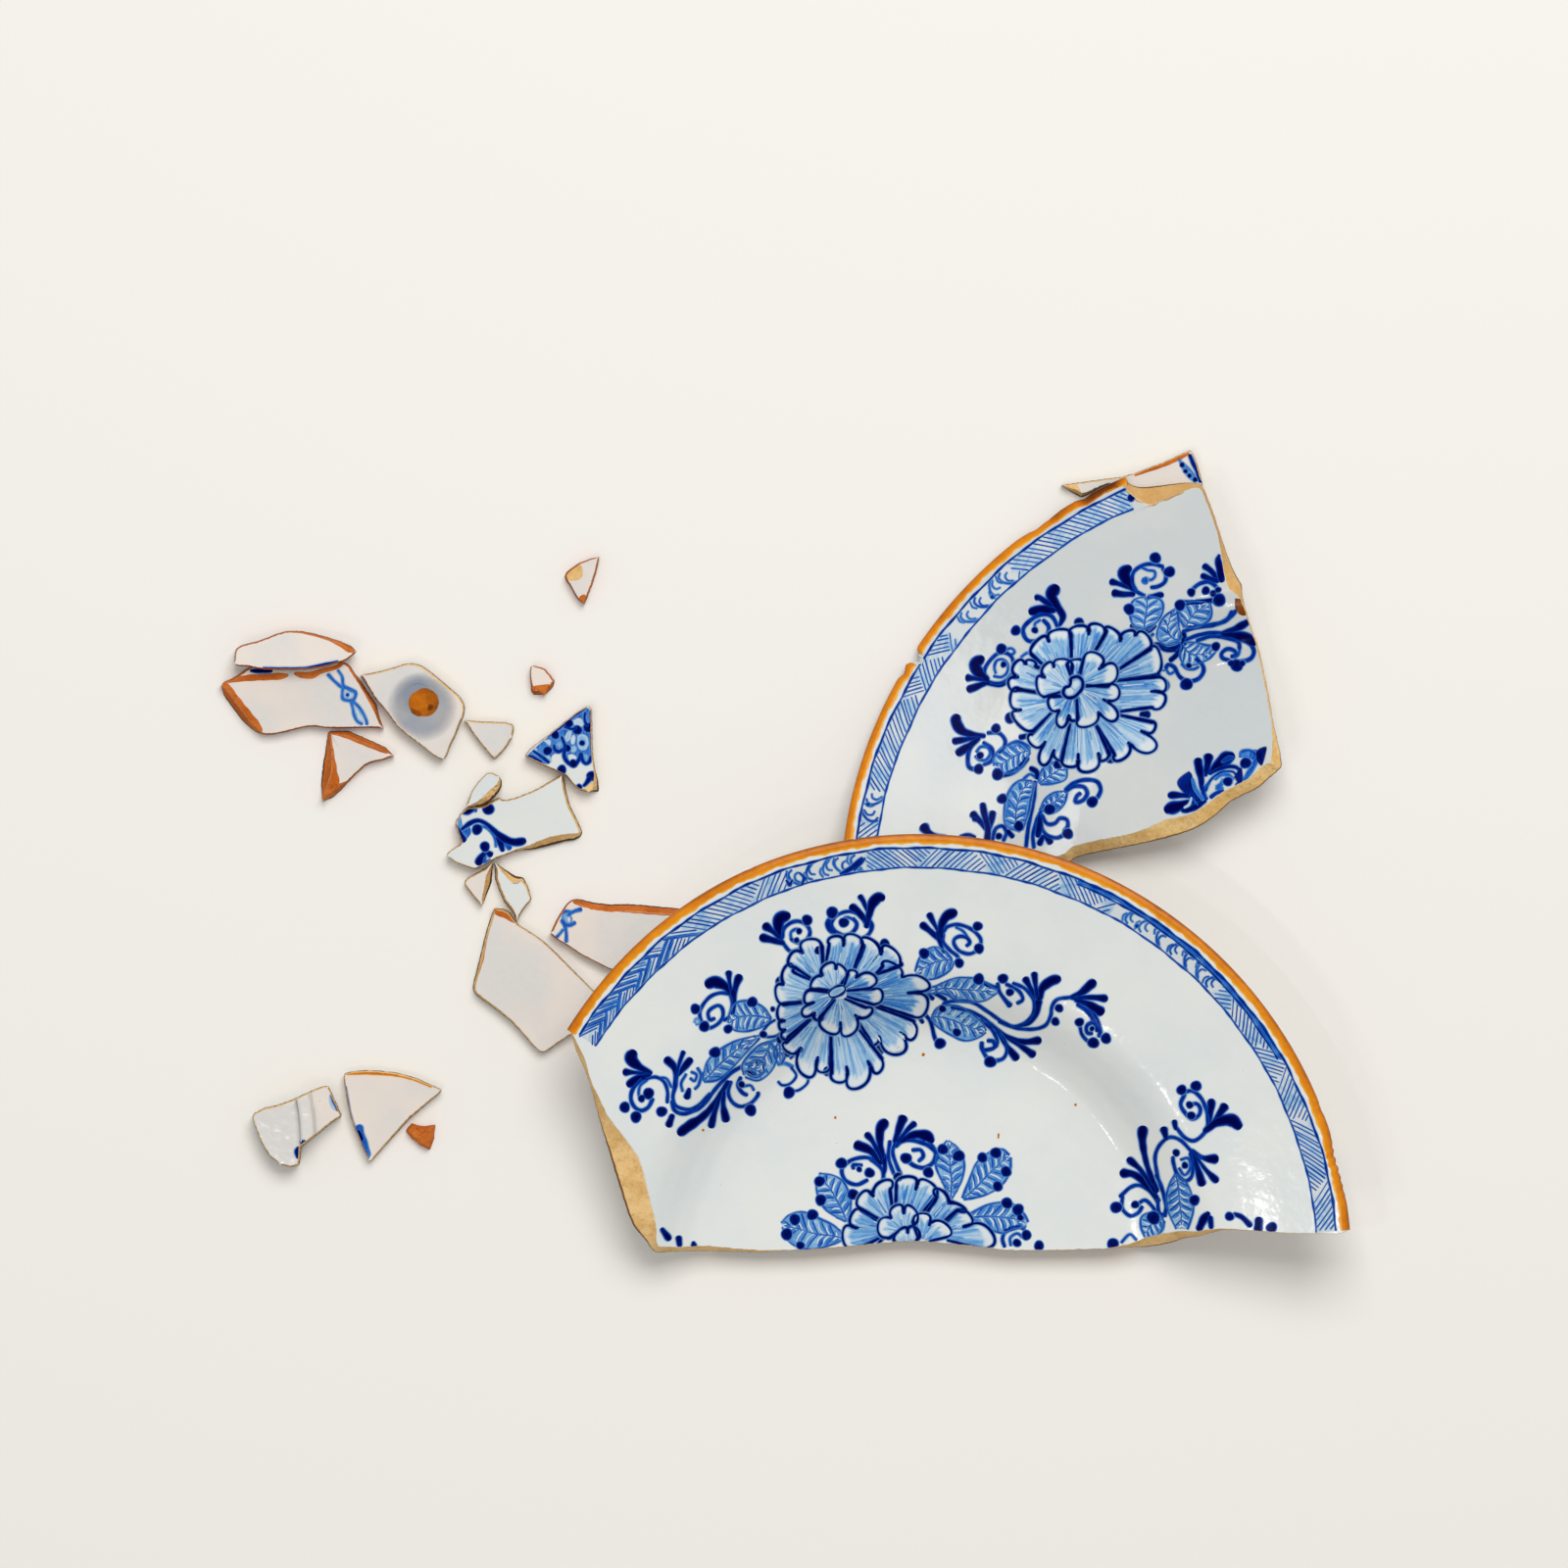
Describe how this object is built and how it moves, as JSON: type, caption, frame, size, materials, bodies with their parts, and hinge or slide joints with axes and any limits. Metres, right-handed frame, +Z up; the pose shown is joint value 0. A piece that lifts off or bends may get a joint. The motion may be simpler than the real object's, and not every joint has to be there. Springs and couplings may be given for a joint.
{
  "type": "broken plate in pieces",
  "caption": "Broken tin-glazed earthenware dish: a half, a quarter-sized piece and small shards lying flat, painted with blue flowers inside an ochre rim.",
  "frame": {"origin": "centre of the underside of the whole spread of pieces, on the surface they lie on", "axes": "+X along the spread towards the half dish, +Y away from its straight broken edge, +Z up off the surface"},
  "size_m": [0.4044, 0.2884, 0.0371],
  "materials": {
    "white_glaze": "glossy tin glaze, cool white",
    "back_glaze": "thin glossy glaze, warm pinkish white",
    "bare_clay": "matt broken earthenware, buff to orange",
    "cobalt_paint": "cobalt painting under a glossy glaze",
    "ochre_rim": "ochre brown edging under a glossy glaze"
  },
  "bodies": {
    "root": {"half_dish": "white_glaze", "quarter_dish": "white_glaze", "corner_shard": "back_glaze", "marked_shard": "back_glaze", "large_back_shard": "back_glaze", "split_shard_right": "white_glaze", "split_shard_left": "white_glaze", "sprig_shard": "white_glaze", "sprig_chip": "white_glaze", "painted_shard": "white_glaze", "plain_shard": "white_glaze", "spot_shard": "back_glaze", "ribbon_shard": "back_glaze", "lens_shard": "back_glaze", "wedge_shard": "back_glaze", "upper_crumb": "white_glaze", "small_crumb": "white_glaze", "foot_ring_shard": "back_glaze", "fan_shard": "white_glaze", "clay_crumb": "bare_clay"}
  },
  "joints": []
}
